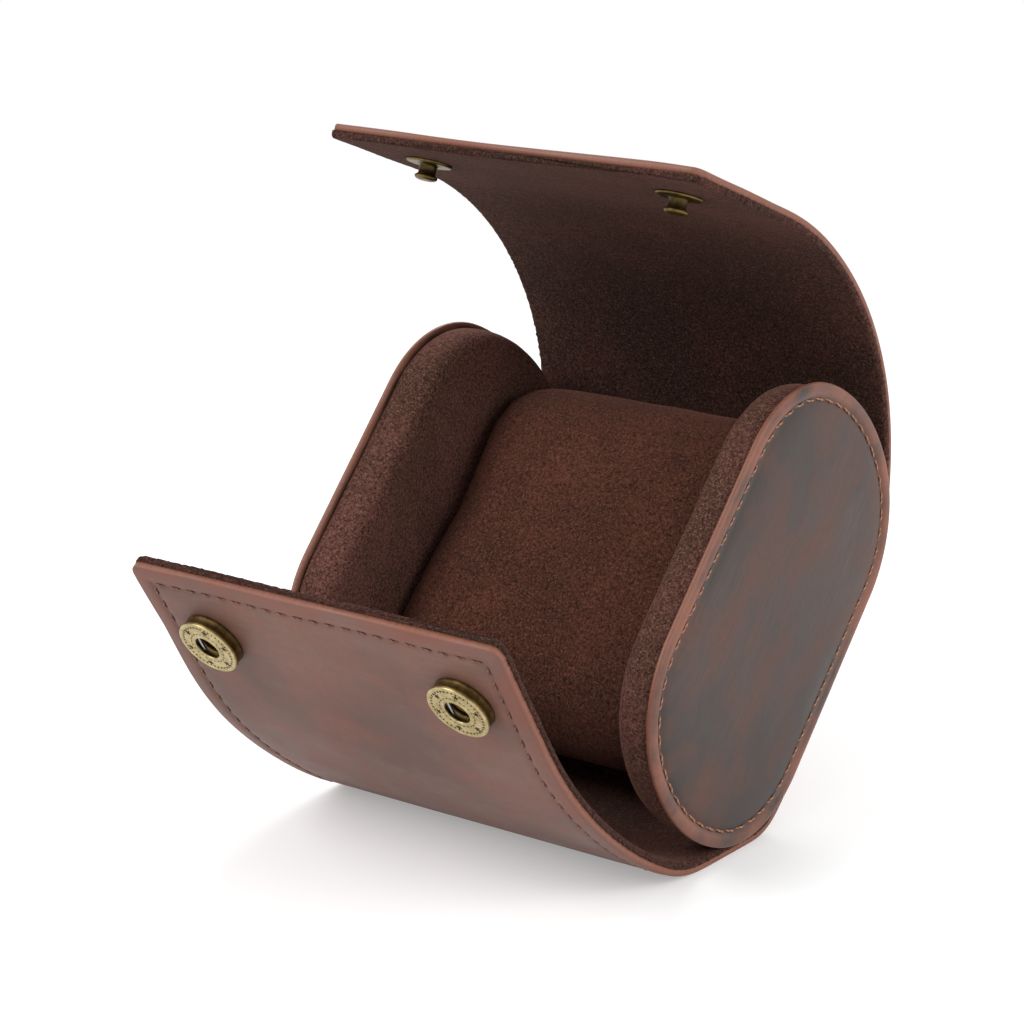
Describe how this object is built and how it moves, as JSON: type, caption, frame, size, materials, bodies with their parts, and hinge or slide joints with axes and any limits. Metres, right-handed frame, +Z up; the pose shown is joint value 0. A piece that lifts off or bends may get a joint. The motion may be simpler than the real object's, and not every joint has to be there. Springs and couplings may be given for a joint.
{
  "type": "watch travel case",
  "caption": "Travel case for a wrist watch: a stiff leather wrap with suede lining round two end caps, open, with a pillow between the caps and snap fasteners on its flaps.",
  "frame": {"origin": "middle of the bounding box's bottom face, on the surface that the case stands on", "axes": "+X across the case from one end cap to the other, +Y towards its back, +Z up"},
  "size_m": [0.0884, 0.1313, 0.1346],
  "materials": {
    "leather": "satin",
    "suede": "matte",
    "thread": "matte",
    "board": "pressed fibre board, matte",
    "foam": "matte",
    "brass": "satin",
    "steel": "satin"
  },
  "bodies": {
    "case": {"wrap_leather": "leather", "wrap_lining": "suede", "wrap_stitching": "thread", "cap_leather_left": "leather", "cap_board_left": "board", "cap_suede_left": "suede", "cap_stitching_left": "thread", "cap_leather_right": "leather", "cap_board_right": "board", "cap_suede_right": "suede", "cap_stitching_right": "thread", "top_leather_1": "leather", "top_lining_1": "suede", "top_stitching_1": "thread"},
    "top_part_2": {"top_leather_2": "leather", "top_lining_2": "suede", "top_stitching_2": "thread"},
    "top_part_3": {"top_leather_3": "leather", "top_lining_3": "suede", "top_stitching_3": "thread"},
    "top_part_4": {"top_leather_4": "leather", "top_lining_4": "suede", "top_stitching_4": "thread"},
    "top_part_5": {"top_leather_5": "leather", "top_lining_5": "suede", "top_stitching_5": "thread"},
    "top_end": {"top_leather_end": "leather", "top_lining_end": "suede", "top_stitching_end": "thread", "snap_studs": "brass", "stud_caps": "brass"},
    "front_part_1": {"front_leather_1": "leather", "front_lining_1": "suede", "front_stitching_1": "thread"},
    "front_part_2": {"front_leather_2": "leather", "front_lining_2": "suede", "front_stitching_2": "thread"},
    "front_part_3": {"front_leather_3": "leather", "front_lining_3": "suede", "front_stitching_3": "thread"},
    "front_part_4": {"front_leather_4": "leather", "front_lining_4": "suede", "front_stitching_4": "thread"},
    "front_part_5": {"front_leather_5": "leather", "front_lining_5": "suede", "front_stitching_5": "thread"},
    "front_end": {"front_leather_end": "leather", "front_lining_end": "suede", "front_stitching_end": "thread", "snap_sockets": "brass", "socket_springs": "steel", "socket_rivets": "brass"},
    "pillow": {"pillow_cover": "suede", "pillow_foam": "foam"}
  },
  "joints": [
    {"name": "top_bend_2", "type": "hinge", "parent": "case", "child": "top_part_2", "pos_m": [0, 0.0625, 0.06979], "axis": [1, 0, 0], "range_deg": [0, 33.26], "stiffness_Nm_per_rad": 1.2, "springref_deg": -1.15},
    {"name": "top_bend_3", "type": "hinge", "parent": "top_part_2", "child": "top_part_3", "pos_m": [0, 0.05838, 0.0862], "axis": [1, 0, 0], "range_deg": [0, 2.88]},
    {"name": "top_bend_4", "type": "hinge", "parent": "top_part_3", "child": "top_part_4", "pos_m": [0, 0.0495, 0.10063], "axis": [1, 0, 0], "range_deg": [0, 15.41]},
    {"name": "top_bend_5", "type": "hinge", "parent": "top_part_4", "child": "top_part_5", "pos_m": [0, 0.03718, 0.11228], "axis": [1, 0, 0], "range_deg": [0, 2.57]},
    {"name": "top_bend_6", "type": "hinge", "parent": "top_part_5", "child": "top_end", "pos_m": [0, 0.02234, 0.12048], "axis": [1, 0, 0], "range_deg": [0, 15.2]},
    {"name": "front_bend_1", "type": "hinge", "parent": "case", "child": "front_part_1", "pos_m": [0, -0.00055, 0.0028], "axis": [-1, 0, 0], "range_deg": [0, 20.38], "stiffness_Nm_per_rad": 4},
    {"name": "front_bend_2", "type": "hinge", "parent": "front_part_1", "child": "front_part_2", "pos_m": [0, -0.01207, 0.00567], "axis": [-1, 0, 0], "range_deg": [0, 3.07]},
    {"name": "front_bend_3", "type": "hinge", "parent": "front_part_2", "child": "front_part_3", "pos_m": [0, -0.0223, 0.01194], "axis": [-1, 0, 0], "range_deg": [0, 8.74]},
    {"name": "front_bend_4", "type": "hinge", "parent": "front_part_3", "child": "front_part_4", "pos_m": [0, -0.03175, 0.01932], "axis": [-1, 0, 0], "range_deg": [0, 23.41]},
    {"name": "front_bend_5", "type": "hinge", "parent": "front_part_4", "child": "front_part_5", "pos_m": [0, -0.04031, 0.02773], "axis": [-1, 0, 0], "range_deg": [0, 16.33]},
    {"name": "front_bend_6", "type": "hinge", "parent": "front_part_5", "child": "front_end", "pos_m": [0, -0.04752, 0.0373], "axis": [-1, 0, 0], "range_deg": [0, 2.93]},
    {"name": "pillow_slide", "type": "slide", "parent": "case", "child": "pillow", "axis": [0, -0.7385, 0.6743], "range_m": [0, 0.016]}
  ],
  "couplings": [
    {"joint": "top_bend_3", "follows": "top_bend_2", "ratio": 0.0849},
    {"joint": "top_bend_4", "follows": "top_bend_2", "ratio": 0.4615},
    {"joint": "top_bend_5", "follows": "top_bend_2", "ratio": 0.0756},
    {"joint": "top_bend_6", "follows": "top_bend_2", "ratio": 0.4551},
    {"joint": "front_bend_2", "follows": "front_bend_1", "ratio": 0.1475},
    {"joint": "front_bend_3", "follows": "front_bend_1", "ratio": 0.4258},
    {"joint": "front_bend_4", "follows": "front_bend_1", "ratio": 1.1455},
    {"joint": "front_bend_5", "follows": "front_bend_1", "ratio": 0.7984},
    {"joint": "front_bend_6", "follows": "front_bend_1", "ratio": 0.1406}
  ]
}
